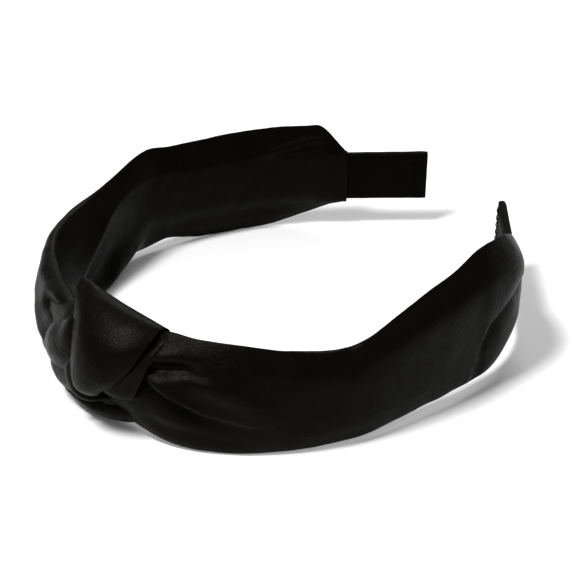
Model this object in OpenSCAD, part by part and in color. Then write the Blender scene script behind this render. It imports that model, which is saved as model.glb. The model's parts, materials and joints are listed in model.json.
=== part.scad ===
// Knotted hard headband: a sprung plastic hoop in two padded satin sleeves, tied in a knot
// over the crown. It lies on the lower edges of its sleeves. Millimetres, +Z up, knot towards
// -Y, tips towards +Y. The origin is under the middle of the whole band.

/* [Hoop] */
// Width of the hoop strip
hoop_w = 15.5; // [12:0.5:20]
// Thickness of the hoop strip
hoop_t = 1.6; // [1.2:0.1:2.4]
// Length of each arm in the bend over the crown
crown_len = 90; // [85:1:100]
// Length of each arm along the side of the head
side_len = 35; // [30:1:40]
// Length of each arm in the bend behind the ear
ear_len = 30; // [25:1:35]
// Length of each flat tip
tip_len = 35; // [32:1:45]

/* [Right arm] */
// Bend radius over the crown
right_crown_r = 62; // [60:1:66]
// Bend radius along the side of the head
right_side_r = 200; // [150:10:400]
// Bend radius behind the ear
right_ear_r = 38; // [34:1:60]

/* [Left arm] */
// Bend radius over the crown
left_crown_r = 57; // [55:1:62]
// Bend radius along the side of the head
left_side_r = 120; // [100:10:400]
// Bend radius behind the ear
left_ear_r = 85; // [50:1:100]

/* [Sleeves] */
// Width of the flattened satin sleeves
sleeve_w = 36; // [32:1:42]
// Outer thickness of a sleeve
sleeve_t = 7; // [6.5:0.1:9]
// Thickness of the satin with its turned seam
satin_t = 0.6; // [0.5:0.1:0.9]
// Length of tip that shows past the end of a sleeve
bare_tip = 28; // [20:1:30]
// Thickness of the foam strip
foam_t = 3.2; // [2:0.1:3.4]
// Width of the foam strip
foam_w = 30; // [20:0.5:30]
// Thickness of the satin on the tips
cover_t = 0.45; // [0.3:0.05:0.6]

/* [Knot] */
// How far the knot sits right of the middle of the hoop
knot_shift = 7; // [0:1:10]
// Length of the knot along the hoop
knot_len = 34; // [30:1:34]
// How far the knot stands out from the hoop
knot_front = 13; // [11:0.5:18]
// How far the knot stands in behind the hoop
knot_back = 6; // [5:0.5:8]
// Thickness of the wrap around the knot
wrap_t = 3; // [2:0.5:4]
// Half of the hoop's stretch that the knot grips
grip = 20; // [18:1:24]

/* [Hidden] */
$fn = 96;

satin_colour = [0.06, 0.055, 0.055];
fold_colour = [0.1, 0.095, 0.095];
hoop_colour = [0.12, 0.12, 0.13];
foam_colour = [0.75, 0.74, 0.7];
glue_colour = [0.85, 0.82, 0.7];
thread_colour = [0.16, 0.15, 0.15];

right_bends = [[right_crown_r, crown_len], [right_side_r, side_len], [right_ear_r, ear_len]];
left_bends = [[left_crown_r, crown_len], [left_side_r, side_len], [left_ear_r, ear_len]];
bend_end = crown_len + side_len + ear_len;
arm_len = bend_end + tip_len;
sleeve_end = arm_len - bare_tip;

chord = 2.5;                // length of the short flats that follow a bend
flex_gap = 0.4;             // slit in the hoop at each flex line
soft_gap = 1.5;             // room between a sleeve and the knot's body
fit_gap = 0.05;             // slack of a strip in its cover
sleeve_in = 2;              // from the hoop's middle to the sleeve's inner face
sleeve_out = sleeve_t - sleeve_in;
cover_in = hoop_t / 2 + fit_gap + cover_t;
cover_w = hoop_w + 2 * (fit_gap + cover_t);
cover_start = bend_end - 2 * chord;
cover_end = arm_len + fit_gap + cover_t;
glue_len = 3 * chord;       // on the hoop's own stations, so that the faces match
glue_w = 12;
crown_glue_t = 1;
right_flex = knot_shift + grip;
left_flex = grip - knot_shift;

// Heading, in degrees, and place of an arm's middle line, s millimetres from the apex.
// An arm starts along +X and turns towards +Y.
function swept(bend, s) = max(0, min(s, bend[1])) / bend[0] * 180 / PI;
function turned(bends, s, i = 0) =
    i == len(bends) ? 0 : swept(bends[i], s) + turned(bends, s - bends[i][1], i + 1);
function arc_step(r, a, b) = r * [sin(b) - sin(a), cos(a) - cos(b)];
function reach(bends, s, i = 0, a = 0) =
    i == len(bends) ? max(0, s) * [cos(a), sin(a)]
    : arc_step(bends[i][0], a, a + swept(bends[i], s))
      + reach(bends, s - bends[i][1], i + 1, a + swept(bends[i], s));

// The same along the whole hoop, where s is negative on the left arm
function mirrored(p) = [-p[0], p[1]];
function facing(a) = [sin(a), -cos(a)];
function place(s) = s < 0 ? mirrored(reach(left_bends, -s)) : reach(right_bends, s);
function outward(s) =
    s < 0 ? mirrored(facing(turned(left_bends, -s))) : facing(turned(right_bends, s));
function offset_line(lengths, out) = [for (s = lengths) place(s) + out * outward(s)];
function between(from, to) = concat(
    [from], [for (i = [floor(from / chord) + 1:ceil(to / chord) - 1]) i * chord], [to]
);
function backwards(list) = [for (i = [len(list) - 1:-1:0]) list[i]];

// The box of the whole band, which sets the origin
function widest(side) = max([for (s = [0:chord:arm_len]) side * place(side * s)[0]]) + sleeve_out;
function tip_reach(s) = (place(s) + cover_in * outward(s))[1];
knot_angle = turned(right_bends, knot_shift);
knot_place = place(knot_shift);
wrap_len = knot_len - 2 * wrap_t;
front_y = knot_place[1] - knot_front * cos(knot_angle) - wrap_len / 2 * sin(knot_angle);
origin_x = (widest(1) - widest(-1)) / 2;
origin_y = (front_y + max(tip_reach(cover_end), tip_reach(-cover_end))) / 2;

module lying() translate([-origin_x, -origin_y, sleeve_w / 2]) children();

// An upright band along the hoop: its ends, its faces as distances out from the hoop's
// middle line, and its width
module band(from, to, inner, outer, width) {
    lengths = between(min(from, to), max(from, to));
    translate([0, 0, -width / 2]) linear_extrude(width)
        polygon(concat(offset_line(lengths, outer), backwards(offset_line(lengths, inner))));
}

// Plastic strip: the stretch under the knot, and one arm on each side
module hoop_crown() color(hoop_colour) lying()
    band(-left_flex, right_flex, -hoop_t / 2, hoop_t / 2, hoop_w);

module hoop_arm(side, flex) color(hoop_colour) lying()
    band(side * (flex + flex_gap), side * arm_len, -hoop_t / 2, hoop_t / 2, hoop_w);

// Foam strip glued to the outer face of an arm
module foam_strip(side, flex) color(foam_colour) lying()
    band(side * (flex + 2 * soft_gap), side * (bend_end - glue_len),
         hoop_t / 2 + fit_gap, hoop_t / 2 + fit_gap + foam_t, foam_w);

// Satin tube, pressed flat, open at both ends
module sleeve(side, flex) color(satin_colour) lying() difference() {
    band(side * (flex + soft_gap), side * sleeve_end, -sleeve_in, sleeve_out, sleeve_w);
    band(side * flex, side * (sleeve_end + 1),
         satin_t - sleeve_in, sleeve_out - satin_t, sleeve_w - 2 * satin_t);
}

// Satin folded round a flat tip and closed over its end
module tip_cover(side) color(satin_colour) lying() difference() {
    band(side * cover_start, side * cover_end, -cover_in, cover_in, cover_w);
    band(side * (cover_start - 1), side * (arm_len + fit_gap),
         cover_t - cover_in, cover_in - cover_t, cover_w - 2 * cover_t);
}

// Two rows of thread that close the satin across a tip
module tip_stitches(side) color(thread_colour) lying() {
    thread_r = 0.2;
    stitch_h = 1.6;
    stitch_pitch = 2.4;
    for (row = [2, 4])
        for (step = [-2.5:1:2.5])
            translate(concat(
                place(side * (arm_len - row)) - (cover_in + thread_r) * outward(side * arm_len),
                step * stitch_pitch - stitch_h / 2
            ))
                cylinder(r = thread_r, h = stitch_h, $fn = 16);
}

// Hot-melt glue between an arm and the inner face of its sleeve
module glue_pad(side) color(glue_colour) lying()
    band(side * (cover_start - chord - glue_len), side * (cover_start - chord),
         satin_t - sleeve_in, -hoop_t / 2, glue_w);

// Hot-melt glue that holds the knot on the hoop
module crown_glue_pad() color(glue_colour) lying()
    band(knot_shift - glue_len, knot_shift + glue_len, hoop_t / 2, hoop_t / 2 + crown_glue_t, glue_w);

// Puts a shape at the knot: X along the hoop, Y outward, Z up
module at_knot() lying() translate(knot_place) rotate(knot_angle) mirror([0, 1, 0]) children();

// A stretch of the knot: a bevelled outline from back to front, drawn out along the hoop
module knot_slice(length, skin, bevel) {
    back = skin - knot_back;
    front = knot_front - skin;
    h = sleeve_w / 2 - skin;
    rotate([90, 0, 90]) linear_extrude(length, center = true) polygon([
        [back + bevel, -h], [front - bevel, -h], [front, bevel - h], [front, h - bevel],
        [front - bevel, h], [back + bevel, h], [back, h - bevel], [back, bevel - h]
    ]);
}

// Gathered satin inside the knot, with the hoop and its glue through it
module knot_core() color(fold_colour) difference() {
    at_knot() knot_slice(knot_len, wrap_t + fit_gap, wrap_t);
    lying() band(-left_flex, right_flex, -hoop_t / 2 - fit_gap,
                 hoop_t / 2 + crown_glue_t + fit_gap, hoop_w + 2 * fit_gap);
}

// The end of satin that wraps round the core
module knot_wrap() color(satin_colour) at_knot() difference() {
    knot_slice(wrap_len, 0, 2 * wrap_t);
    knot_slice(knot_len, wrap_t, wrap_t);
}

// The fold of satin that comes out from under the wrap on the right
module knot_fold() color(fold_colour) at_knot() {
    fold_t = 3;
    low = -sleeve_w / 2;
    translate([(knot_len + fold_t) / 2 + fit_gap, 0, 0])
        rotate([90, 0, 90]) linear_extrude(fold_t, center = true)
            polygon([[crown_glue_t + hoop_t, 8], [knot_front - 3, 4], [knot_front - 3, -10],
                     [crown_glue_t + hoop_t, low + 4]]);
}

// Hand-sewn bars that tack the wrap closed behind the hoop
module knot_tack_stitches() color(thread_colour) at_knot() {
    thread_r = 0.35;
    bar_len = 5;
    for (z = [-6:4:6])
        translate([-bar_len / 2, -knot_back - thread_r, z])
            rotate([0, 90, 0]) cylinder(r = thread_r, h = bar_len, $fn = 16);
}

hoop_crown();
hoop_arm(-1, left_flex);  // hoop_left_arm
hoop_arm(1, right_flex);  // hoop_right_arm
foam_strip(-1, left_flex);  // left_foam_strip
foam_strip(1, right_flex);  // right_foam_strip
sleeve(-1, left_flex);  // left_sleeve
sleeve(1, right_flex);  // right_sleeve
tip_cover(-1);  // left_tip_cover
tip_cover(1);  // right_tip_cover
tip_stitches(-1);  // left_tip_stitches
tip_stitches(1);  // right_tip_stitches
crown_glue_pad();
glue_pad(-1);  // left_glue_pad
glue_pad(1);  // right_glue_pad
knot_core();
knot_wrap();
knot_fold();
knot_tack_stitches();
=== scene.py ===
"""Looks of the knotted headband: satin sleeves, the folds of the knot, ribbon on the tips and
thread, on a pale floor in soft studio light."""

import json
import math

import bmesh
import bpy
import numpy as np
from mathutils import Matrix, Vector, noise


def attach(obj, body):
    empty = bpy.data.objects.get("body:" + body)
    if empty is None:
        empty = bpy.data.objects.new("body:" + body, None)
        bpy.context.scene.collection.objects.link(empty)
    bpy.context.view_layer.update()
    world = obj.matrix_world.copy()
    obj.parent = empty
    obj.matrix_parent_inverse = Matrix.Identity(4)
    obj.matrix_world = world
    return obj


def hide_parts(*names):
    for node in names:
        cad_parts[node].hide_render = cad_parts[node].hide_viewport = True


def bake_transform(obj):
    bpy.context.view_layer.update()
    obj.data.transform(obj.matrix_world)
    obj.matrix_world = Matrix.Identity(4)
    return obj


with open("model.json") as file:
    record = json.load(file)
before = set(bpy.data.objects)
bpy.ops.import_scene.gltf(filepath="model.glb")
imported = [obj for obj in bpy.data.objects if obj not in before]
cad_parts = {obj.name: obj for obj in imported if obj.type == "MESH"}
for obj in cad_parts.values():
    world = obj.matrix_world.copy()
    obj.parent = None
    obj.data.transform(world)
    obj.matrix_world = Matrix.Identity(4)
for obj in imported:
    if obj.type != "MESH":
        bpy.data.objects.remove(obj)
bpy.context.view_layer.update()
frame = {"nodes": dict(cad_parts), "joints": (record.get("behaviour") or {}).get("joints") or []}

# ---------------------------------------------------------------- the hoop's plan
# Lengths are in millimetres until a mesh is made. A place on the band is (s, out, up): s runs
# along the hoop from the apex, negative on the left arm; out is the distance outward from the
# hoop's middle line; up is the height above the middle of the band.
MM = 0.001
RIGHT_BENDS = ((62, 90), (200, 35), (38, 30))
LEFT_BENDS = ((57, 90), (120, 35), (85, 30))
ARM_LEN = 190
COVER_START = 150
HOOP_W = 15.5
HALF_BAND = 18
RIGHT_FLEX = 27
LEFT_FLEX = 13
BLEND_SPAN = 16


def arm_place(bends, s):
    """Places and headings along an arm that starts along +X and turns towards +Y. The bends
    are (radius, length), and a straight tip follows them."""
    x, y, heading, left = np.zeros_like(s), np.zeros_like(s), np.zeros_like(s), s.copy()
    for radius, length in bends:
        turned = heading + np.clip(left, 0, length) / radius
        x += radius * (np.sin(turned) - np.sin(heading))
        y += radius * (np.cos(heading) - np.cos(turned))
        heading, left = turned, left - length
    straight = np.maximum(left, 0)
    return x + straight * np.cos(heading), y + straight * np.sin(heading), heading


def hoop_line(s):
    """Place and outward direction in plan at each s, on either arm."""
    right = s >= 0
    xr, yr, ar = arm_place(RIGHT_BENDS, np.maximum(s, 0))
    xl, yl, al = arm_place(LEFT_BENDS, np.maximum(-s, 0))
    place = np.stack([np.where(right, xr, -xl), np.where(right, yr, yl)], -1)
    facing_x = np.where(right, np.sin(ar), -np.sin(al))
    facing_y = -np.where(right, np.cos(ar), np.cos(al))
    return place, np.stack([facing_x, facing_y], -1)


def outward(s):
    """Outward direction in plan at one s."""
    return hoop_line(np.array([float(s)]))[1][0]


HINGES = {joint["name"]: np.array(joint["pos_m"]) / MM for joint in frame["joints"]}
APEX = HINGES["right_arm_flex"].copy()
APEX[:2] -= hoop_line(np.array([float(RIGHT_FLEX)]))[0][0]


def in_frame(points):
    """(s, out, up) points, in an array of any shape, as points of the frame."""
    points = np.asarray(points, float)
    place, facing = hoop_line(points[..., 0])
    flat = place + points[..., 1:2] * facing + APEX[:2]
    return np.concatenate([flat, points[..., 2:3] + APEX[2]], -1)


# ---------------------------------------------------------------- lofted satin
PLEAT_EDGE = 0.18
PLEAT_REACH = 1.5
SIDE_CONTRAST = 2.5
FINE_SHARE = 0.4
SEED_SHIFT = (17.3, 5.1, 9.7)
FLOOR_GAP = 0.05
# A turned-in end, ring by ring: (size, depth), then the depth at which it closes
HEM = ((0.99, -0.6), (0.96, -0.8), (0.93, -0.4), (0.9, 1.0), (0.85, 4.0))
HEM_CLOSED = 4.5
TINY = 1e-12
WELD_GAP = 1e-6


def hermite(a, b, ta, tb, t):
    """Cubic from a to b with tangents ta and tb."""
    t2, t3 = t * t, t * t * t
    from_a = (2 * t3 - 3 * t2 + 1) * a + (t3 - 2 * t2 + t) * ta
    return from_a + (3 * t2 - 2 * t3) * b + (t3 - t2) * tb


def along(nets, marks, rings):
    """Sections between the stations: nets (stations, points, 3) at marks, smooth in between."""
    slopes = np.gradient(nets, marks, axis=0)
    at = np.linspace(marks[0], marks[-1], rings)
    k = np.clip(np.searchsorted(marks, at, side="right") - 1, 0, len(marks) - 2)
    width = (marks[k + 1] - marks[k])[:, None, None]
    t = ((at - marks[k]) / (marks[k + 1] - marks[k]))[:, None, None]
    return hermite(nets[k], nets[k + 1], slopes[k] * width, slopes[k + 1] * width, t)


def around(sections, softness, per_side):
    """Closed curves through each section's points; a softness of 0 is a sharp corner."""
    soft = np.asarray(softness, float)[None, :, None]
    after = np.roll(sections, -1, 1)
    slopes = (after - np.roll(sections, 1, 1)) / 2 * soft
    slopes_after = np.roll(slopes, -1, 1)
    t = (np.arange(per_side) / per_side)[None, None, :, None]
    curve = hermite(
        sections[:, :, None], after[:, :, None], slopes[:, :, None], slopes_after[:, :, None], t
    )
    return curve.reshape(len(sections), -1, 3)


def normals_of(grid):
    """Outward unit normals of a tube whose rings are the rows of the grid."""
    run = np.gradient(grid, axis=0)
    turn = np.roll(grid, -1, 1) - np.roll(grid, 1, 1)
    n = np.cross(run, turn)
    n /= np.linalg.norm(n, axis=2, keepdims=True) + TINY
    centre = grid.mean(1, keepdims=True)
    return n if ((grid - centre) * n).sum() >= 0 else -n


def smooth_step(t):
    """0 below 0, 1 above 1, and an S between."""
    t = np.clip(t, 0, 1)
    return t * t * (3 - 2 * t)


def pleat(points, line, ridge=0.0, step=0.0, width=2.0, fade=(0.2, 0.3)):
    """Height of a pleat along a line of (s, up) points, in order of s. "ridge" is how far
    the cloth stands up along the line, or sinks where it is negative; "step" is how far it
    stands higher above the line than on it, and lower below, as where a fold ends. "fade" is
    the share of the line over which each end dies out."""
    line = np.array(line, float)
    s, up = points[..., 0], points[..., 1]
    level = np.interp(s, line[:, 0], line[:, 1])
    slope = np.gradient(line[:, 1], line[:, 0])
    across = (up - level) / np.sqrt(1 + np.interp(s, line[:, 0], slope) ** 2) / width
    share = (s - line[0, 0]) / (line[-1, 0] - line[0, 0])
    strength = smooth_step(share / fade[0]) * smooth_step((1 - share) / fade[1])
    edge = np.tanh(across / PLEAT_EDGE) * np.exp(-((across / PLEAT_REACH) ** 2))
    return strength * (ridge * np.exp(-(across**2)) + step * edge)


def pleated(grid, local, pleats):
    """The grid with its pleats pushed along its normals. A pleat is (side, line, shape),
    with side 1 for the outer face and -1 for the inner one."""
    normals = normals_of(grid)
    facing = hoop_line(local[..., 0])[1]
    outer = (normals[..., :2] * facing).sum(2)
    lift = np.zeros(local.shape[:2])
    plan = local[..., [0, 2]]
    for side, line, shape in pleats:
        lift += smooth_step(side * outer * SIDE_CONTRAST) * pleat(plan, line, **shape)
    return grid + normals * lift[..., None]


def crumple(grid, height, size, seed):
    """The grid with the small soft unevenness of slack cloth."""
    shift = Vector([seed * step for step in SEED_SHIFT])
    flat = grid.reshape(-1, 3)
    lift = np.array([noise.noise(Vector(p) / size + shift) for p in flat])
    fine = np.array([noise.noise(Vector(p) / (size * FINE_SHARE) + shift) for p in flat])
    lift += FINE_SHARE * fine
    return grid + normals_of(grid) * (height * lift).reshape(grid.shape[:2])[..., None]


def hem(ring, inner, lip, tuck):
    """Rings that turn the end of a tube in and close it; inner is the ring before the end."""
    centre = ring.mean(0)
    back = (inner - ring).mean(0)
    back /= np.linalg.norm(back) + TINY
    rows = []
    for size, depth in HEM:
        rows.append(centre + (ring - centre) * (1 - (1 - size) * lip) + back * depth * tuck)
    rows.append(np.repeat((centre + back * HEM_CLOSED * tuck)[None], len(ring), 0))
    return np.array(rows)


def closed_ends(grid, lip, tuck):
    """The tube with both ends turned in, as a hem is, and closed inside."""
    first = hem(grid[0], grid[1], lip, tuck)[::-1]
    return np.concatenate([first, grid, hem(grid[-1], grid[-2], lip, tuck)])


def tube_faces(rings, count):
    """Quads of a closed tube, ring by ring."""
    faces = []
    for i in range(rings - 1):
        here, there = i * count, (i + 1) * count
        for j in range(count):
            k = (j + 1) % count
            faces.append((here + j, here + k, there + k, there + j))
    return faces


def cloth_uvs(grid):
    """UVs that run along and around the cloth in millimetres, for the faces of its tube."""
    steps = np.linalg.norm(np.diff(grid, axis=0), axis=2).mean(1)
    turns = np.linalg.norm(np.roll(grid, -1, 1) - grid, axis=2).mean(0)
    u = np.concatenate([[0], np.cumsum(steps)])
    v = np.concatenate([[0], np.cumsum(turns)])
    uvs = []
    for i in range(len(steps)):
        for j in range(len(turns)):
            uvs += [(u[i], v[j]), (u[i], v[j + 1]), (u[i + 1], v[j + 1]), (u[i + 1], v[j])]
    return np.array(uvs, np.float32)


def recalc_outward(mesh):
    """Makes every face look outward."""
    work = bmesh.new()
    work.from_mesh(mesh)
    bmesh.ops.recalc_face_normals(work, faces=work.faces)
    work.to_mesh(mesh)
    work.free()


def weld(piece):
    """Joins points that lie on each other, such as the closed end of a tube."""
    modifier = piece.modifiers.new("weld", "WELD")
    modifier.merge_threshold = WELD_GAP
    bpy.context.view_layer.update()
    depsgraph = bpy.context.evaluated_depsgraph_get()
    loose = piece.data
    welded = bpy.data.meshes.new_from_object(piece.evaluated_get(depsgraph))
    piece.modifiers.clear()
    piece.data = welded
    bpy.data.meshes.remove(loose)
    welded.name = piece.name


def finish_mesh(piece, material):
    """Outward faces, smooth shading and one material."""
    recalc_outward(piece.data)
    piece.data.polygons.foreach_set("use_smooth", np.ones(len(piece.data.polygons), bool))
    piece.data.materials.clear()
    piece.data.materials.append(material)


def new_piece(name, vertices, faces):
    """A mesh object in the scene, from points in millimetres."""
    mesh = bpy.data.meshes.new(name)
    mesh.from_pydata((vertices * MM).tolist(), [], faces)
    piece = bpy.data.objects.new(name, mesh)
    bpy.context.scene.collection.objects.link(piece)
    return piece


def tube_piece(name, grid, material):
    """A smooth closed tube from a grid of points."""
    piece = new_piece(name, grid.reshape(-1, 3), tube_faces(*grid.shape[:2]))
    layer = piece.data.uv_layers.new(name="cloth")
    layer.data.foreach_set("uv", cloth_uvs(grid).ravel())
    weld(piece)
    finish_mesh(piece, material)
    return piece


def satin_tube(
    name, nets, softness, material, rings, per_side=14, marks=None, pleats=(), bumps=(0.25, 9),
    lip=1.0, tuck=1.0, seed=1,
):
    """A tube of cloth lofted through sections of (s, out, up) points. The stations are evenly
    spaced unless marks says otherwise; bumps are the height and size of the unevenness; lip
    and tuck scale the turned-in ends."""
    marks = np.linspace(0, 1, len(nets)) if marks is None else np.array(marks, float)
    local = around(along(np.asarray(nets, float), marks, rings), softness, per_side)
    grid = crumple(pleated(in_frame(local), local, pleats), *bumps, seed)
    grid[..., 2] = np.maximum(grid[..., 2], APEX[2] - HALF_BAND + FLOOR_GAP)
    return tube_piece(name, closed_ends(grid, lip, tuck), material)


# ---------------------------------------------------------------- materials
SATIN_TINT = (1.0, 0.95, 0.86, 1)
SHEEN_TINT = (0.55, 0.52, 0.48, 1)
SHEEN = 0.003
SHEEN_ROUGHNESS = 0.45
LINT = (0.06, 0.056, 0.05, 1)
FLOATS = (1.6, 7.0)
WEAVE = (2.2, 2.2)
THREAD_SHADE = 0.55
SATIN_GLOSS = (-0.09, 0.1)
GRAIN_GLOSS = 0.08
# Reliefs are (strength, depth in metres)
SPARKLE_RELIEF = (0.8, 0.00018)
FLOAT_RELIEF = (0.3, 0.00006)
WEAVE_RELIEF = (0.2, 0.00005)
GRAIN_DEPTH = 0.0001


def node_material(name):
    """A new node material, its tree and its shader."""
    material = bpy.data.materials.new(name)
    material.use_nodes = True
    tree = material.node_tree
    return material, tree, tree.nodes["Principled BSDF"]


def texture(tree, kind, vector, **inputs):
    """A texture node that reads the vector socket."""
    node = tree.nodes.new("ShaderNodeTex" + kind)
    for key, value in inputs.items():
        node.inputs[key].default_value = value
    tree.links.new(vector, node.inputs["Vector"])
    return node


def object_space(tree):
    """The object's own coordinates, in metres."""
    return tree.nodes.new("ShaderNodeTexCoord").outputs["Object"]


def cloth_space(tree, along_scale, around_scale):
    """The cloth's UV axes, in millimetres, scaled one by one."""
    coordinate = tree.nodes.new("ShaderNodeUVMap")
    coordinate.uv_map = "cloth"
    scale = tree.nodes.new("ShaderNodeMapping")
    scale.inputs["Scale"].default_value = (along_scale, around_scale, 1)
    tree.links.new(coordinate.outputs["UV"], scale.inputs["Vector"])
    return scale.outputs["Vector"]


def ramp(tree, source, low, high, start=0.3, stop=0.7):
    """The colour that runs from low to high as the source socket runs from start to stop."""
    node = tree.nodes.new("ShaderNodeValToRGB")
    first, last = node.color_ramp.elements
    first.position, last.position = start, stop
    first.color, last.color = (*low, 1), (*high, 1)
    tree.links.new(source, node.inputs["Fac"])
    return node.outputs["Color"]


def grey_ramp(tree, source, low, high, start=0.3, stop=0.7):
    """A ramp between two greys."""
    return ramp(tree, source, (low,) * 3, (high,) * 3, start, stop)


def bump(tree, height, strength, distance, under=None):
    """The normal of a relief, on top of the relief under it."""
    node = tree.nodes.new("ShaderNodeBump")
    node.inputs["Strength"].default_value = strength
    node.inputs["Distance"].default_value = distance
    tree.links.new(height, node.inputs["Height"])
    if under:
        tree.links.new(under, node.inputs["Normal"])
    return node.outputs["Normal"]


def colour_mix(tree, kind, first, second):
    """A colour mix node of two sockets."""
    node = tree.nodes.new("ShaderNodeMix")
    node.data_type = "RGBA"
    node.blend_type = kind
    tree.links.new(first, node.inputs["A"])
    if second:
        tree.links.new(second, node.inputs["B"])
    return node


def diagonal_weave(tree):
    """Fine slanting bands, as the weave of satin has."""
    node = texture(tree, "Wave", cloth_space(tree, *WEAVE), Scale=1.0, Distortion=1.5, Detail=2.0)
    node.wave_type = "BANDS"
    node.bands_direction = "DIAGONAL"
    return node.outputs["Fac"]


def with_lint(tree, space, cloth):
    """The cloth's colour with a few specks of lint."""
    specks = texture(tree, "Voronoi", space, Scale=130.0)
    places = texture(tree, "Noise", space, Scale=95.0, Detail=0.0)
    near = grey_ramp(tree, specks.outputs["Distance"], 1.0, 0.0, 0.03, 0.055)
    rare = grey_ramp(tree, places.outputs["Fac"], 0.0, 1.0, 0.68, 0.7)
    both = tree.nodes.new("ShaderNodeMath")
    both.operation = "MULTIPLY"
    tree.links.new(near, both.inputs[0])
    tree.links.new(rare, both.inputs[1])
    mix = colour_mix(tree, "MIX", cloth, None)
    tree.links.new(both.outputs[0], mix.inputs["Factor"])
    mix.inputs["B"].default_value = LINT
    return mix.outputs["Result"]


def satin_colour(tree, space, threads, dark, light):
    """Cloudy colour, darkened between the threads."""
    clouds = texture(tree, "Noise", space, Scale=60.0, Detail=2.0, Roughness=0.5)
    tone = ramp(tree, clouds.outputs["Fac"], dark, light, 0.3, 0.72)
    shade = colour_mix(tree, "MULTIPLY", tone, grey_ramp(tree, threads, 0.45, 1.0))
    shade.inputs["Factor"].default_value = THREAD_SHADE
    return shade.outputs["Result"]


def satin(name, dark, light, roughness, specular):
    """Matt black cloth: long fine floats along the tube, a slanting weave, a grainy soft
    gloss, faint unevenness in colour, and a few specks of lint."""
    material, tree, shader = node_material(name)
    link = tree.links.new
    space = object_space(tree)
    floats = texture(
        tree, "Noise", cloth_space(tree, *FLOATS), Scale=1.0, Detail=3.0, Roughness=0.6
    )
    threads = floats.outputs["Fac"]
    grains = texture(tree, "Noise", space, Scale=1200.0, Detail=2.5, Roughness=0.75).outputs["Fac"]
    cloth = satin_colour(tree, space, threads, dark, light)
    link(with_lint(tree, space, cloth), shader.inputs["Base Color"])
    low, high = (roughness + change for change in SATIN_GLOSS)
    link(grey_ramp(tree, grains, low, high), shader.inputs["Roughness"])
    relief = bump(tree, grains, *SPARKLE_RELIEF)
    relief = bump(tree, threads, *FLOAT_RELIEF, relief)
    relief = bump(tree, diagonal_weave(tree), *WEAVE_RELIEF, relief)
    link(relief, shader.inputs["Normal"])
    shader.inputs["Specular IOR Level"].default_value = specular
    shader.inputs["Specular Tint"].default_value = SATIN_TINT
    shader.inputs["Sheen Weight"].default_value = SHEEN
    shader.inputs["Sheen Roughness"].default_value = SHEEN_ROUGHNESS
    shader.inputs["Sheen Tint"].default_value = SHEEN_TINT
    return material


def grained(name, dark, light, roughness, scale, relief, specular):
    """Plastic or thread: cloudy colour with fine grain."""
    material, tree, shader = node_material(name)
    link = tree.links.new
    space = object_space(tree)
    grain = texture(tree, "Noise", space, Scale=scale, Detail=4.0, Roughness=0.6).outputs["Fac"]
    link(ramp(tree, grain, dark, light), shader.inputs["Base Color"])
    low, high = roughness - GRAIN_GLOSS, roughness + GRAIN_GLOSS
    link(grey_ramp(tree, grain, low, high), shader.inputs["Roughness"])
    link(bump(tree, grain, relief, GRAIN_DEPTH), shader.inputs["Normal"])
    shader.inputs["Specular IOR Level"].default_value = specular
    return material


SATIN = satin("satin", (0.0014, 0.0012, 0.001), (0.0027, 0.0024, 0.002), 0.35, 0.04)
RIBBON = satin("ribbon", (0.0018, 0.0016, 0.0014), (0.003, 0.0027, 0.0024), 0.55, 0.02)
THREAD = grained(
    "thread", (0.002, 0.0018, 0.0016), (0.0045, 0.004, 0.0036), 0.6, 2600, 0.5, 0.03
)
PLASTIC = grained("moulded_plastic", (0.012,) * 3, (0.02,) * 3, 0.45, 700, 0.25, 0.4)

# ---------------------------------------------------------------- sleeves
# A section goes round from the upper fold over the outer face to the lower fold and back up
# the inner face: upper fold, outer high, middle, low, lower fold, inner low, middle, high.
LENS_SOFT = (0.25, 1, 1, 1, 0.25, 1, 1, 1)
FLOPPED_SOFT = (0.5, 1, 1, 1, 0.25, 1, 1, 0.3)
SHOULDER_OUT = 0.82
SHOULDER_UP = 0.58
LOWER_PULL = 0.3
INNER_OUT = 0.85
HOOP_MARGIN = 0.5


def station(s, *points):
    """A section at s, from eight (out, up) points."""
    return [(s, out, up) for out, up in points]


def leaning_station(s, top, bottom, outer, inner, top_out, bottom_out):
    """The section of a tube pressed flat between an upper and a lower fold. Its inner face
    stays flat over the hoop's whole width."""
    middle, half = (top + bottom) / 2, (top - bottom) / 2
    over_hoop = HOOP_W / 2 + HOOP_MARGIN
    return station(
        s,
        (top_out, top),
        (outer * SHOULDER_OUT, middle + half * SHOULDER_UP),
        (outer, middle),
        (outer * SHOULDER_OUT + bottom_out * LOWER_PULL, middle - half * SHOULDER_UP),
        (bottom_out, bottom),
        (-inner * INNER_OUT, min(middle - half / 2, -over_hoop)),
        (-inner, middle),
        (-inner * INNER_OUT, max(middle + half / 2, over_hoop)),
    )


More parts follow.
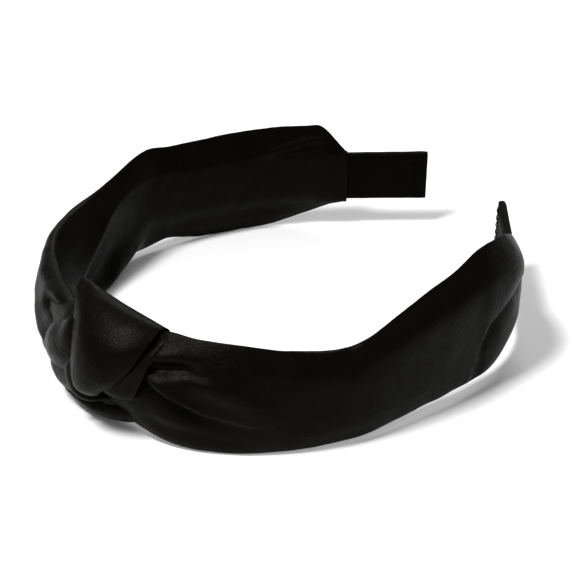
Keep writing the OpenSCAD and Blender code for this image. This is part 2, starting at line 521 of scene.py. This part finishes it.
LEFT_NETS = [
    station(4, (-2, 6), (0, 9), (3, 6), (4, 2), (2, -8), (-1, -9), (-3.5, -6), (-3.5, 1)),
    station(
        -6, (-3, 9.6), (1.6, 9.8), (4.2, 4.5), (4.6, -1),
        (2.5, -9), (-3, -11), (-5.5, -8), (-6, 1),
    ),
    station(
        -18, (-3.8, 9.6), (1.2, 9), (3.4, 1.5), (3.9, -5),
        (2.8, -11.6), (-4, -13), (-7, -10), (-7.4, -3),
    ),
    station(
        -28, (-4, 9.4), (1.1, 8.8), (1.8, 0), (2.3, -8),
        (1.0, -16), (-5.5, -16), (-7, -12), (-8.2, -3.5),
    ),
    station(
        -38, (-3, 9.3), (1.0, 8.7), (1.2, 0), (1.3, -9),
        (-1.2, -17.6), (-7, -17), (-7, -13), (-8.5, -5.5),
    ),
    station(
        -52, (-1.8, 9.3), (0.9, 8.7), (1.1, 0), (1.2, -9),
        (-2, -17.8), (-8, -17.3), (-7, -12), (-8.5, -4.8),
    ),
    station(
        -66, (-1.6, 9.8), (1.1, 8.5), (1.3, 0), (1.5, -9),
        (-2.8, -17.8), (-9, -17), (-6.4, -10), (-8, 0),
    ),
    station(
        -76, (-1.4, 11.8), (1.6, 8.5), (2, 0), (2, -8),
        (-1.6, -17.2), (-8.6, -15), (-5, -7), (-6.6, 5.6),
    ),
    station(
        -86, (-0.6, 14.6), (2.2, 9), (2.8, 1), (2.7, -8),
        (-0.4, -16.4), (-5, -13.6), (-3.6, -5), (-4.2, 8),
    ),
    leaning_station(-96, 17.9, -16.4, 4.2, 2.4, 0.6, 1),
    leaning_station(-104, 17.2, -15.4, 4.2, 2.5, 0.6, 1.2),
    leaning_station(-115, 17, -17.6, 4.2, 2.6, 0.6, 1.2),
    leaning_station(-126, 17.4, -17.9, 4.2, 2.6, 0.6, 1.2),
    leaning_station(-138, 17.8, -17.6, 4.2, 2.6, 0.6, 1.2),
    leaning_station(-150, 17.8, -14.2, 3.8, 2.4, 0.6, 1.4),
    leaning_station(-155.5, 17.4, -12, 3.2, 2.2, 0.6, 0.9),
    leaning_station(-160, 13, -10.2, 2.5, 2.1, 0.4, 0.4),
    leaning_station(-163.5, 8.9, -8.9, 1.9, 1.9, 0.1, 0.1),
]
# A pleat is (side, line of (s, up) points, shape), as pleated() takes it
LEFT_PLEATS = [
    (
        1,
        ((-34, 5), (-22, 0.6), (-14, -2.4), (-6, -4)),
        {"step": 1.7, "width": 2.6, "fade": (0.3, 0.1)},
    ),
    (
        1,
        ((-18, 6.4), (-11.5, 7), (-4.6, 8), (2, 9)),
        {"ridge": -2.4, "width": 1.7, "fade": (0.3, 0.05)},
    ),
    (
        -1,
        ((-163, -10.5), (-140, -10.2), (-110, -10), (-84, -9.4)),
        {"ridge": -0.9, "width": 3.6},
    ),
    (
        -1,
        ((-160, 14), (-150, 13.5), (-132, 9)),
        {"ridge": 0.5, "step": -0.3, "width": 1.3},
    ),
]
RIGHT_NETS = [
    station(11, (0, 7), (3, 5), (4.4, 0), (4, -8), (1, -12), (-3, -8), (-4, 0), (-3.5, 5)),
    station(
        19, (-0.6, 9), (2.6, 6.5), (4.4, 0), (4.6, -8),
        (2.6, -13.5), (-3, -9), (-4, 0), (-3, 6),
    ),
    station(
        26, (-0.6, 11.6), (3, 9.2), (5.2, 1.5), (5.8, -7.5),
        (4, -15), (-2.6, -9), (-3.4, 0), (-3, 7),
    ),
    station(
        32, (0, 14.4), (4.4, 9.8), (6.3, 1), (6.4, -8.4),
        (4.6, -16.5), (-2.4, -10), (-2.8, 0), (-2.6, 7),
    ),
    leaning_station(40, 14, -17.3, 6.2, 2.4, 0.4, 4.7),
    leaning_station(50, 13.2, -17.5, 5.8, 2.2, 0.5, 4.5),
    leaning_station(64, 11, -17.1, 5.1, 2, 0.5, 3.9),
    leaning_station(77.5, 8.7, -16.9, 4.7, 2, 0.6, 3.2),
    leaning_station(84, 11, -16.7, 4.5, 2, 0.6, 2.8),
    leaning_station(93, 14.4, -16.1, 4.4, 2, -0.4, 2.4),
    leaning_station(104, 17.6, -15.2, 4.3, 2, -1.2, 2.2),
    leaning_station(116, 20.6, -15.1, 4.0, 2, -2, 1.8),
    leaning_station(127, 23.6, -15.2, 3.7, 2, -2.6, 1.2),
    leaning_station(138, 22.6, -14, 3.5, 2, -2.4, 0.6),
    leaning_station(148, 18.6, -11.8, 2.9, 2, -1.6, 0.4),
    leaning_station(157, 12.6, -10, 2.1, 2, -0.6, 0.2),
    leaning_station(163.5, 8.9, -8.9, 1.7, 1.7, 0, 0),
]
RIGHT_PLEATS = [
    (
        1,
        ((20, 5), (29, 5.9), (37, 7), (43, 6.4), (49, 3)),
        {"ridge": -2.4, "width": 1.7, "fade": (0.05, 0.5)},
    ),
    (
        1,
        ((20, 8.4), (29, 8.6), (36, 9.6), (42, 9.6)),
        {"ridge": 1.1, "width": 2.0, "fade": (0.05, 0.6)},
    ),
    (
        1,
        ((18, 9), (27.2, 3.6), (34, -1.2), (42.5, -5.1), (58, -9.5)),
        {"step": 2.4, "width": 3.0, "fade": (0.05, 0.6)},
    ),
    (
        1,
        ((36, 4), (44, 3.6), (50, 1), (56, -3), (64, -7)),
        {"ridge": 2.0, "width": 3.6, "fade": (0.3, 0.6)},
    ),
    (
        1,
        ((24, -9), (34, -11.5), (48, -13), (60, -13)),
        {"ridge": -0.6, "width": 2.2, "fade": (0.2, 0.6)},
    ),
    (
        1,
        ((119, -10), (121.5, -4), (125, 2), (131, 5), (138, 8), (150, 10)),
        {"step": 1.4, "ridge": -1.0, "width": 4.2, "fade": (0.2, 0.3)},
    ),
]
left_sleeve = satin_tube(
    "left_sleeve_satin", LEFT_NETS, FLOPPED_SOFT, SATIN, 240, pleats=LEFT_PLEATS, seed=1
)
right_sleeve = satin_tube(
    "right_sleeve_satin", RIGHT_NETS, LENS_SOFT, SATIN, 230, pleats=RIGHT_PLEATS, seed=2
)

# ---------------------------------------------------------------- knot
FOLD_SOFT = (0.2, 1, 1, 1, 0.2, 1, 1, 1)
LOBE_SOFT = (0.8,) * 8
KNOT_MIDDLE = (8.0, 2.0, 0.0)
EDGE_DROP = 0.35
# Where a fold's eight points lie between its edges: over the front, then back behind it
FOLD_SHARES = (0.0, 0.2, 0.5, 0.8, 1.0, 0.8, 0.5, 0.2)
EDGES = (0, 4)


def wrap_nets(edges, thick):
    """Sections of a flat fold of satin. Each station gives its left edge, its right edge and
    how far it bows out between them."""
    left = np.array([edge[0] for edge in edges], float)
    right = np.array([edge[1] for edge in edges], float)
    crown = np.array([edge[2] for edge in edges], float)[:, None]
    middle = (left + right) / 2
    face = np.cross(right - left, np.gradient(middle, axis=0))
    face /= np.linalg.norm(face, axis=1, keepdims=True)
    if ((middle - np.array(KNOT_MIDDLE)) * face).sum() < 0:
        face = -face
    nets = []
    for n, share in enumerate(FOLD_SHARES):
        bow = crown * (1 - abs(2 * share - 1) ** 2)
        front = 0.0 if n < EDGES[1] else thick
        drop = EDGE_DROP if n in EDGES else front
        nets.append(left + (right - left) * share + face * (bow - drop))
    return np.stack(nets, 1)


CORE_NETS = [
    station(-14, (-2, 6), (1, 7), (3, 2), (2.4, -6), (0, -10), (-2, -9), (-3, -2), (-3, 4)),
    station(-7, (-3, 9), (2, 9), (4.6, 2), (4.4, -8), (1, -13), (-4, -11), (-5, -2), (-4.5, 6)),
    station(2, (-3, 13), (2.5, 12), (7, 4), (7, -8), (1.4, -15.5), (-4, -13), (-5.5, -2), (-5, 9)),
    station(12, (-3, 13), (3.6, 12), (8, 3), (5.4, -7), (2, -15.5), (-4, -13), (-5.5, -2), (-5, 9)),
    station(
        20, (-2.5, 11), (3, 9.8), (5.2, 3), (3.6, -7),
        (2, -15), (-3.5, -12), (-5, -2), (-4.5, 7),
    ),
    station(
        25.5, (-1.5, 9.4), (1.8, 8.6), (3.4, 2), (3, -8),
        (1.6, -13.6), (-2.5, -11), (-3.5, -2), (-3, 6),
    ),
]
MAIN_WRAP = [
    ((4, -6.3, -6), (24, -6.3, -8), 0.3),
    ((1, -6.3, 3), (27, -6.2, 1), 0.3),
    ((-1.6, -5.8, 13), (29.5, -5.6, 8.5), 0.3),
    ((-2, -4, 18.5), (30.5, -3.2, 13.2), 0.6),
    ((-0.4, -0.5, 17.9), (29.8, -0.5, 15), 1.0),
    ((1.8, 2, 16), (29.2, 2.4, 14.2), 1.6),
    ((4.8, 5, 12.9), (28.2, 5.2, 12.2), 2.2),
    ((7.2, 8, 9.3), (26.8, 7.6, 9.3), 2.6),
    ((8.3, 10, 5), (24.8, 9, 5.2), 2.8),
    ((8.5, 10.7, 0), (21.6, 9.8, 0.6), 2.4),
    ((9, 10.5, -4.2), (17.8, 9.8, -3.2), 1.4),
    ((10, 8.4, -6.6), (15.8, 8.4, -5.8), 0.5),
    ((11, 4, -7.2), (14, 4, -6.8), 0.1),
]
SIDE_FOLD = [
    ((26, -5, 6), (30.5, -4.8, 7), 0.3),
    ((28.8, -3, 10.6), (32.6, -2.6, 12), 0.5),
    ((29.2, 0, 11.8), (32.8, 0.2, 13.4), 0.8),
    ((28.2, 3, 10.2), (31.8, 3.2, 11.8), 0.9),
    ((26.4, 5.8, 8.0), (30.6, 5.6, 9.4), 1.0),
    ((23.8, 7.4, 4.9), (28.8, 7.2, 6.2), 1.1),
    ((20.4, 8.4, 1.6), (27.2, 7.8, 1.8), 1.1),
    ((16.6, 8.8, -2.6), (25.2, 8, -3.4), 0.8),
    ((16.6, 6.8, -4.2), (24.2, 6.2, -5), 0.3),
    ((17.2, 3.5, -3.8), (23.2, 3, -4.6), 0.1),
]
LOWER_LIP = [
    ((10.5, 7.6, 6), (13.5, 7, 6), 0.2),
    ((8.0, 9.2, 3.2), (11.5, 8.4, 3.4), 0.5),
    ((6.6, 10.2, 0.4), (10.4, 9.2, 0.8), 0.6),
    ((6.4, 10.2, -3.2), (10, 9, -2.6), 0.7),
    ((7.0, 9.6, -7), (10, 8, -5.8), 0.7),
    ((9.0, 8.8, -9.3), (11.2, 7, -7.6), 0.6),
    ((12, 7.4, -9.8), (12.8, 5.6, -8), 0.4),
    ((15.5, 4.8, -9), (15, 3.6, -7.6), 0.1),
]
LEFT_BULGE = [
    station(9, (5, 11), (7, 7), (7.6, 2), (7, -4), (5, -8), (2, -6), (1, 0), (2, 7)),
    station(5, (5.4, 12), (8, 7.6), (8.6, 2), (7.6, -4), (5, -8), (2, -6), (1, 0), (2, 7)),
    station(1, (5, 9.4), (8, 5.2), (8.8, 0), (7.2, -5), (5, -8.4), (2, -7), (1, -1), (2, 5)),
    station(
        -3, (5, 6.8), (7.6, 3.8), (8.2, -1.2), (6.6, -6),
        (4.6, -8.6), (2, -7), (1, -2), (2, 3),
    ),
    station(
        -6.6, (4.6, 4), (6.6, 1.2), (6.9, -2.6), (5.8, -6.4),
        (4.2, -8.4), (2, -7), (1.4, -3), (2, 0),
    ),
    station(
        -9.2, (4, 1), (5, -0.8), (5.2, -3.4), (4.6, -6),
        (3.6, -7.4), (2, -6.4), (1.6, -4), (2, -1.4),
    ),
    station(
        -10.4, (3.4, -1.6), (3.8, -2.4), (4, -3.8), (3.7, -5.2),
        (3.2, -6), (2.4, -5.6), (2, -4), (2.4, -2.4),
    ),
]
LEFT_LOBE = [
    station(10, (4, 0), (6, -2), (7, -5), (6.4, -8.4), (4.6, -10.6), (2, -10), (1, -5), (2, -2)),
    station(
        4, (4, 0), (6.6, -2), (7.6, -5.6), (6.8, -9.6),
        (4.8, -12.4), (2, -11), (1, -6), (2, -2),
    ),
    station(
        -2, (4, -1), (6.2, -3.4), (7, -7), (6.2, -10.8),
        (4.4, -13.4), (2, -12), (1, -7), (2, -3),
    ),
    station(
        -6.6, (3.6, -3), (5, -5), (5.6, -8), (5, -11),
        (3.6, -13), (2, -12), (1.4, -8), (2, -4),
    ),
    station(
        -9.4, (3.2, -6), (3.8, -7), (4.1, -9), (3.8, -11),
        (3.2, -12), (2.2, -11.4), (1.8, -9), (2.2, -7),
    ),
]
UNDER_FOLD = [
    station(
        -9, (0.4, -7), (1.4, -7.8), (1.8, -9), (1.4, -10.2),
        (0.4, -10.8), (-0.6, -10.2), (-1, -9), (-0.6, -7.8),
    ),
    station(
        -4, (1.6, -8.4), (3.4, -9.6), (4, -12), (3, -14.2),
        (1, -15), (-1, -13.6), (-2, -11.6), (0, -9),
    ),
    station(
        3, (2, -10), (4.6, -11.4), (5.4, -13.4), (4.2, -15.6),
        (1, -17), (-2, -15.6), (-3, -12), (-1, -9),
    ),
    station(
        12, (1.8, -10.6), (4.2, -12), (5.2, -13.8), (4.2, -15.8),
        (1.2, -17.4), (-2, -16), (-3, -12), (-1, -9),
    ),
    station(
        20, (1.6, -9), (3.6, -10.6), (4.4, -12.6), (3.6, -14.6),
        (1, -16.2), (-2.5, -15), (-3, -11), (-1, -7),
    ),
    station(
        27, (2, -7), (3.4, -9), (4, -11), (3, -13),
        (1, -14.4), (-2, -13), (-2.5, -10), (-1, -7),
    ),
    station(
        34, (2, -7), (3, -8.5), (3.4, -10.4), (2.6, -12),
        (1, -13), (-1, -12), (-1.5, -10.5), (0, -8),
    ),
]
knot_core = satin_tube("knot_inner_satin", CORE_NETS, LOBE_SOFT, SATIN, 60, seed=3)
knot_wrap = satin_tube(
    "knot_wrap_satin", wrap_nets(MAIN_WRAP, 2.4), FOLD_SOFT, SATIN, 110, per_side=16,
    bumps=(0.18, 7), seed=4,
)
knot_fold = satin_tube(
    "knot_fold_satin", wrap_nets(SIDE_FOLD, 2.2), FOLD_SOFT, SATIN, 90, bumps=(0.15, 6), seed=5
)
knot_lip = satin_tube(
    "knot_lip_satin", wrap_nets(LOWER_LIP, 1.6), FOLD_SOFT, SATIN, 90, bumps=(0.12, 6), seed=6
)
knot_bulge = satin_tube(
    "knot_side_satin", LEFT_BULGE, LOBE_SOFT, SATIN, 60, bumps=(0.2, 6), seed=7
)
knot_lobe = satin_tube(
    "knot_lobe_satin", LEFT_LOBE, LOBE_SOFT, SATIN, 60, bumps=(0.2, 6), seed=11
)
knot_under = satin_tube(
    "knot_under_satin", UNDER_FOLD, LOBE_SOFT, SATIN, 70, bumps=(0.3, 6), seed=8
)

# ---------------------------------------------------------------- ribbon tips and thread
TIP_SOFT = (0.35, 0.35, 1, 0.35, 0.35, 0.35, 1, 0.35)
TIP_CORNER = 0.5
# (s, half the width, half the thickness)
TIP_SECTIONS = (
    (COVER_START, 8.1, 1.15),
    (170, 8.15, 1.15),
    (185, 8.2, 1.2),
    (189, 8.25, 1.2),
    (190.4, 8.2, 1.05),
)
TIP_SEAM = ((COVER_START, 6.4), (170, 6.6), (ARM_LEN, 6.8))
SEAM_SHAPE = {"step": -0.22, "width": 0.6, "fade": (0.02, 0.02)}
TIP_ROWS = (2, 4)
TIP_STITCHES = 6
TIP_PITCH = 2.4
TIP_STITCH_LEN = 1.6
TIP_THREAD_OUT = -1.35
TIP_SAG = 0.22
TIP_THREAD_R = 0.17
TACK_HEIGHTS = (-6, -2, 2, 6)
TACK_SPAN = (9, 14.5)
TACK_MIDDLE = 12
TACK_OUT = -6.4
TACK_RISE = 0.6
TACK_SAG = 0.5
TACK_R = 0.3
# Below 1, a stitch rises steeply at its holes and is nearly straight between them
STITCH_BOW = 0.6


def tip_section(s, half, face):
    """A flat rounded rectangle at s."""
    corner = half - TIP_CORNER
    return station(
        s, (0, half), (face, corner), (face, 0), (face, -corner),
        (0, -half), (-face, -corner), (-face, 0), (-face, corner),
    )


def tip_cover(side, name, seed):
    """The ribbon round a tip, with its seam on the inner face; side is -1 on the left."""
    nets = [tip_section(side * s, half, face) for s, half, face in TIP_SECTIONS]
    seam = [(side * s, up) for s, up in TIP_SEAM][::side]
    return satin_tube(
        name, nets, TIP_SOFT, RIBBON, 120, marks=[s for s, _, _ in TIP_SECTIONS],
        pleats=[(-1, seam, SEAM_SHAPE)], bumps=(0.05, 5), lip=2.0, tuck=0.04, seed=seed,
    )


def stitch(start, end, facing, sag, radius, steps=10, sides=8):
    """Rings of a short stitch between two (s, out, up) places. It bows inward by the sag,
    against the facing direction."""
    start, end = in_frame([start, end])
    inward = np.array([-facing[0], -facing[1], 0])
    t = np.linspace(0, 1, steps)
    bow = sag * np.sin(np.pi * t)[:, None] ** STITCH_BOW
    line = start + (end - start) * t[:, None] + inward * bow
    ahead = np.gradient(line, axis=0)
    ahead /= np.linalg.norm(ahead, axis=1, keepdims=True)
    side = np.cross(ahead, inward)
    side /= np.linalg.norm(side, axis=1, keepdims=True)
    other = np.cross(ahead, side)
    angle = (np.arange(sides) / sides * 2 * np.pi)[None, :, None]
    return line[:, None] + radius * (np.cos(angle) * side[:, None] + np.sin(angle) * other[:, None])


def thread_piece(name, stitches):
    """One mesh of several stitches, each closed at both ends."""
    vertices, faces = [], []
    for bar in stitches:
        rings, sides = bar.shape[:2]
        base = len(vertices)
        last = base + (rings - 1) * sides
        vertices += bar.reshape(-1, 3).tolist()
        faces += [tuple(base + corner for corner in face) for face in tube_faces(rings, sides)]
        faces.append(tuple(range(base, base + sides)))
        faces.append(tuple(range(last, last + sides)))
    piece = new_piece(name, np.array(vertices), faces)
    finish_mesh(piece, THREAD)
    return piece


def tip_thread(side, name):
    """Two rows of stitches across the inner face of a tip."""
    stitches = []
    for row in TIP_ROWS:
        s = side * (ARM_LEN - row)
        for n in range(TIP_STITCHES):
            low = (n - (TIP_STITCHES - 1) / 2) * TIP_PITCH - TIP_STITCH_LEN / 2
            start = (s, TIP_THREAD_OUT, low)
            end = (s, TIP_THREAD_OUT, low + TIP_STITCH_LEN)
            stitches.append(stitch(start, end, outward(s), TIP_SAG, TIP_THREAD_R))
    return thread_piece(name, stitches)


def knot_tacks(name):
    """The stitches that hold the wrap closed behind the hoop."""
    stitches = []
    for up in TACK_HEIGHTS:
        start = (TACK_SPAN[0], TACK_OUT, up)
        end = (TACK_SPAN[1], TACK_OUT, up + TACK_RISE)
        stitches.append(stitch(start, end, outward(TACK_MIDDLE), TACK_SAG, TACK_R))
    return thread_piece(name, stitches)


left_tip = tip_cover(-1, "left_tip_ribbon", seed=10)
right_tip = tip_cover(1, "right_tip_ribbon", seed=9)
left_thread = tip_thread(-1, "left_tip_thread")
right_thread = tip_thread(1, "right_tip_thread")
tack_thread = knot_tacks("knot_tack_thread")

# ---------------------------------------------------------------- riding on the frame
def ahead_at(s, toward):
    """Two frame points in metres on the hoop, one each side of s, from the crown to the arm;
    toward is -1 on the left arm."""
    here = in_frame([[s, 0, 0]])[0]
    facing = outward(s)
    half = np.array([-facing[1], facing[0], 0]) * toward * BLEND_SPAN / 2
    return Vector((here - half) * MM), Vector((here + half) * MM)


start, end = ahead_at(-LEFT_FLEX, -1)
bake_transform(left_sleeve)
start, end = ahead_at(RIGHT_FLEX, 1)
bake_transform(right_sleeve)
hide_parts("left_sleeve", "left_foam_strip", "left_glue_pad")
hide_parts("right_sleeve", "right_foam_strip", "right_glue_pad")
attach(left_tip, "left_arm")
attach(right_tip, "right_arm")
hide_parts("left_tip_cover")
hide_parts("right_tip_cover")
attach(left_thread, "left_arm")
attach(right_thread, "right_arm")
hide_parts("left_tip_stitches")
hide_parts("right_tip_stitches")
KNOT_CLOTH = (knot_core, knot_wrap, knot_fold, knot_lip, knot_bulge, knot_lobe, knot_under)
for piece in (*KNOT_CLOTH, tack_thread):
    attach(piece, "crown")
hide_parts("knot_core", "crown_glue_pad")
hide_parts("knot_wrap")
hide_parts("knot_fold")
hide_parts("knot_tack_stitches")
for name in ("hoop_crown", "hoop_left_arm", "hoop_right_arm"):
    node = frame["nodes"][name]
    node.data.materials.clear()
    node.data.materials.append(PLASTIC)

# ---------------------------------------------------------------- floor, light, camera
FLOOR_HALF = 4.0
PAPER = (0.93, 0.93, 0.93, 1)
WORLD_STRENGTH = 0.36
AIM = Vector((0.0133, -0.0074, 0.0211))
CAMERA_AT = Vector((0.3115, -0.2610, 0.2431))
CAMERA_ROLL = math.radians(0.73)
LENS = 99.7
SENSOR = 36
scene = bpy.context.scene


def add_object(name, data):
    """A new object in the scene that holds the data."""
    thing = bpy.data.objects.new(name, data)
    scene.collection.objects.link(thing)
    return thing


def paper_floor():
    """A wide plain floor of matt pale paper."""
    mesh = bpy.data.meshes.new("floor")
    corners = [(x * FLOOR_HALF, y * FLOOR_HALF, 0) for x, y in ((-1, -1), (1, -1), (1, 1), (-1, 1))]
    mesh.from_pydata(corners, [], [(0, 1, 2, 3)])
    paper, _, shader = node_material("paper")
    shader.inputs["Base Color"].default_value = PAPER
    shader.inputs["Roughness"].default_value = 0.9
    shader.inputs["Specular IOR Level"].default_value = 0.0
    mesh.materials.append(paper)
    return add_object("floor", mesh)


def studio_world():
    """Even white light from all round."""
    world = bpy.data.worlds.new("studio")
    world.use_nodes = True
    sky = world.node_tree.nodes["Background"]
    sky.inputs["Color"].default_value = (1, 1, 1, 1)
    sky.inputs["Strength"].default_value = WORLD_STRENGTH
    return world


def turned_to(place, aim):
    """The rotation that looks from a place at an aim."""
    return (Vector(aim) - Vector(place)).to_track_quat("-Z", "Y")


def soft_light(name, place, width, power):
    """A square lamp that looks at the middle of the floor."""
    data = bpy.data.lights.new(name, "AREA")
    data.shape = "SQUARE"
    data.size = width
    data.energy = power
    light = add_object(name, data)
    light.location = place
    light.rotation_mode = "QUATERNION"
    light.rotation_quaternion = turned_to(place, (0, 0, 0))


def photo_camera():
    """The camera at the photograph's viewing angle."""
    data = bpy.data.cameras.new("camera")
    data.lens = LENS
    data.sensor_width = SENSOR
    camera = add_object("camera", data)
    camera.location = CAMERA_AT
    camera.rotation_mode = "QUATERNION"
    roll = Matrix.Rotation(CAMERA_ROLL, 3, "Z").to_quaternion()
    camera.rotation_quaternion = turned_to(CAMERA_AT, AIM) @ roll
    return camera


floor = paper_floor()
scene.world = studio_world()
scene.view_settings.view_transform = "Standard"
soft_light("key", (-0.05, -0.5, 0.95), 0.22, 11)
soft_light("fill", (0.75, 0.1, 0.8), 0.5, 0.3)
soft_light("back", (-0.5, 0.7, 0.8), 0.5, 5)
scene.camera = photo_camera()
